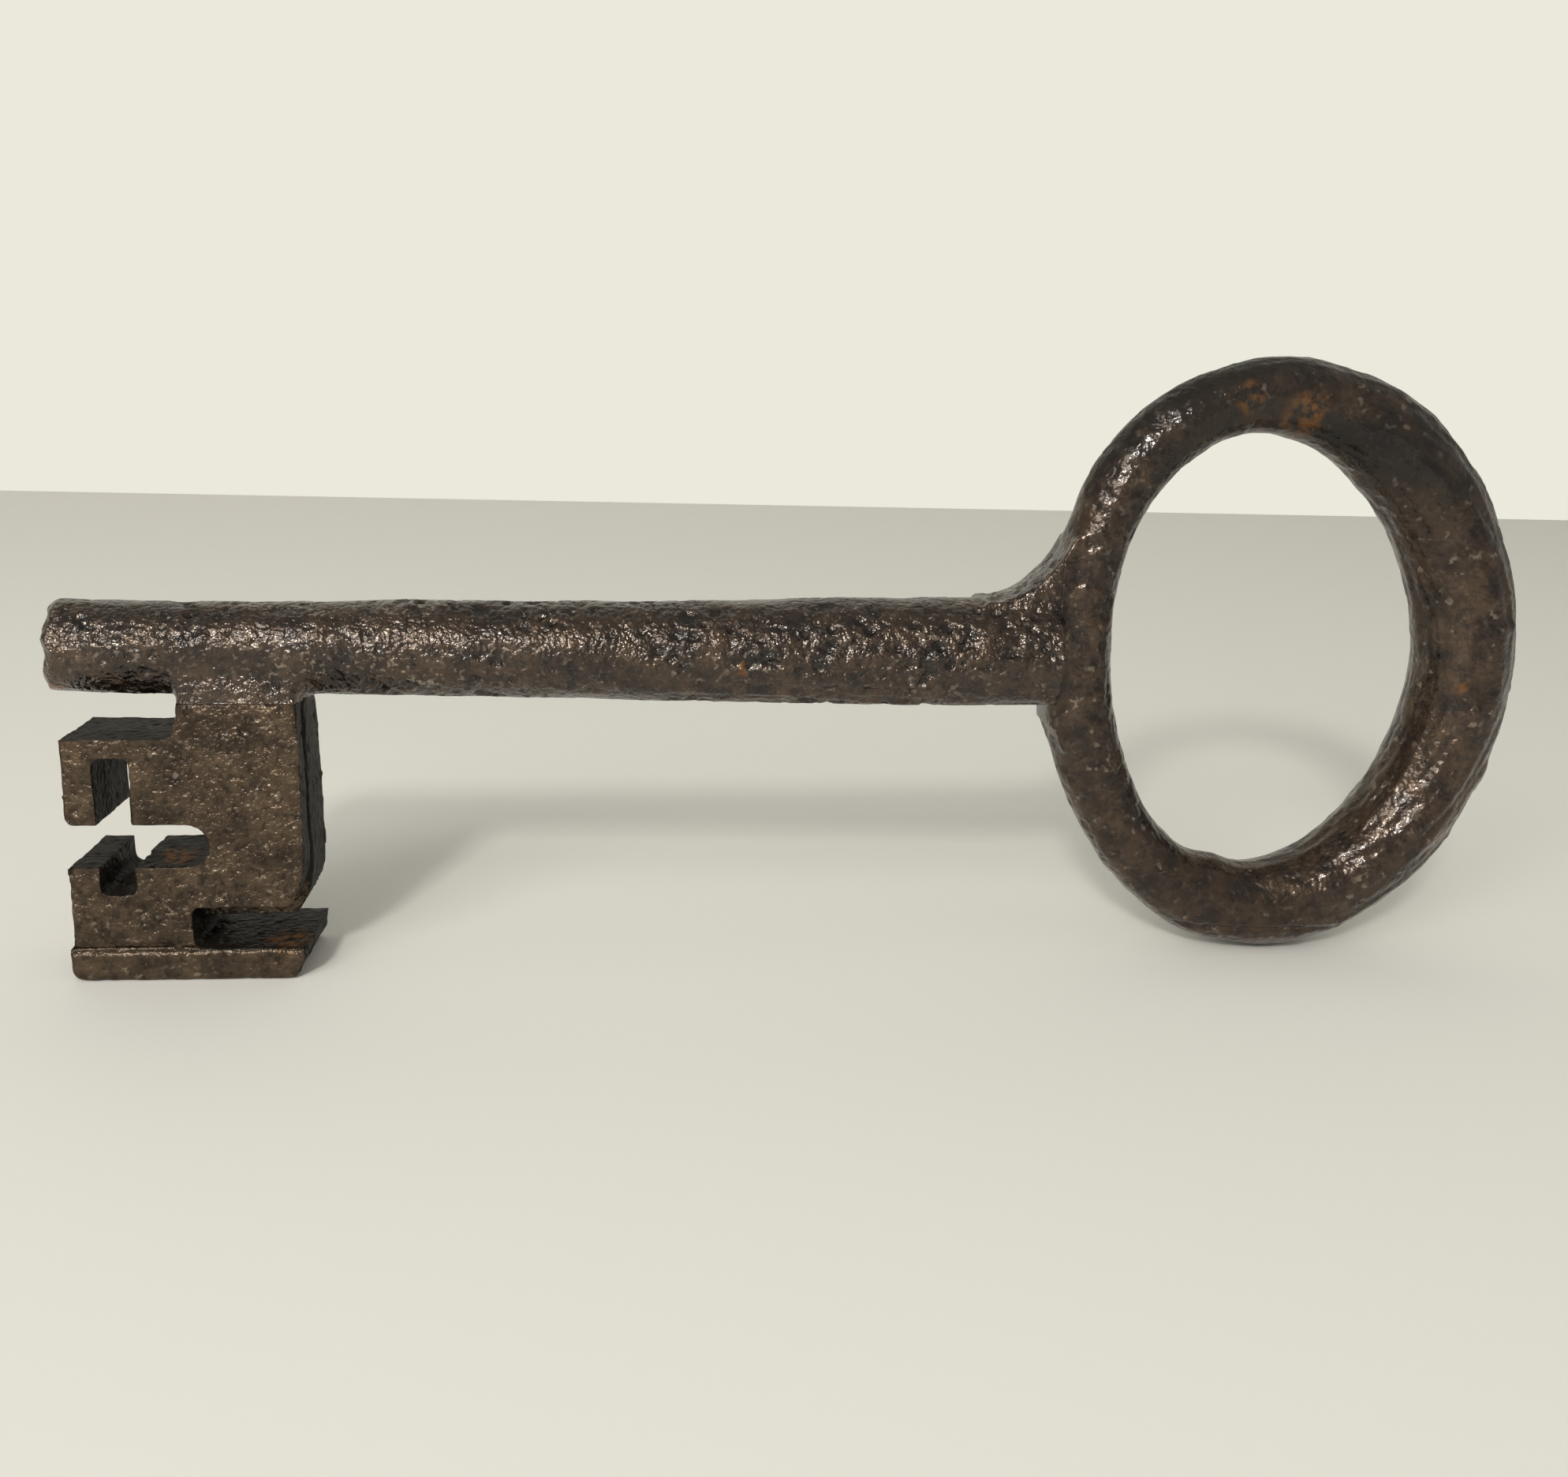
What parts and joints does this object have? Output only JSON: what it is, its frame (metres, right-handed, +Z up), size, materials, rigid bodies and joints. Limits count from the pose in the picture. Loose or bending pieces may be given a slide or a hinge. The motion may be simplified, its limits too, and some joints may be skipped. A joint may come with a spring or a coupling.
{
  "type": "key",
  "caption": "Old forge-welded iron key: a leaning oval bow, a round shank with a pin end, and a layered bit on a foot, with cross and foot ward cuts",
  "frame": {"origin": "middle of the bounding box's bottom, on the surface that the foot stands on", "axes": "+X runs along the shank from the bit to the bow, +Y is square to the flat of the key, +Z is up with the bit hanging down"},
  "size_m": [0.1816, 0.0146, 0.0767],
  "materials": {
    "bow_iron": "waxed, dark brown forged iron, worn smooth",
    "shank_iron": "waxed, pitted dark forged iron with bright worn spots",
    "bit_iron": "waxed, finely pitted grey-brown forged iron",
    "foot_iron": "waxed, layered dark forged iron"
  },
  "bodies": {
    "root": {"bow": "bow_iron", "shank": "shank_iron", "bit_front_leaf": "bit_iron", "bit_back_leaf": "bit_iron", "bit_foot": "foot_iron"}
  },
  "joints": []
}
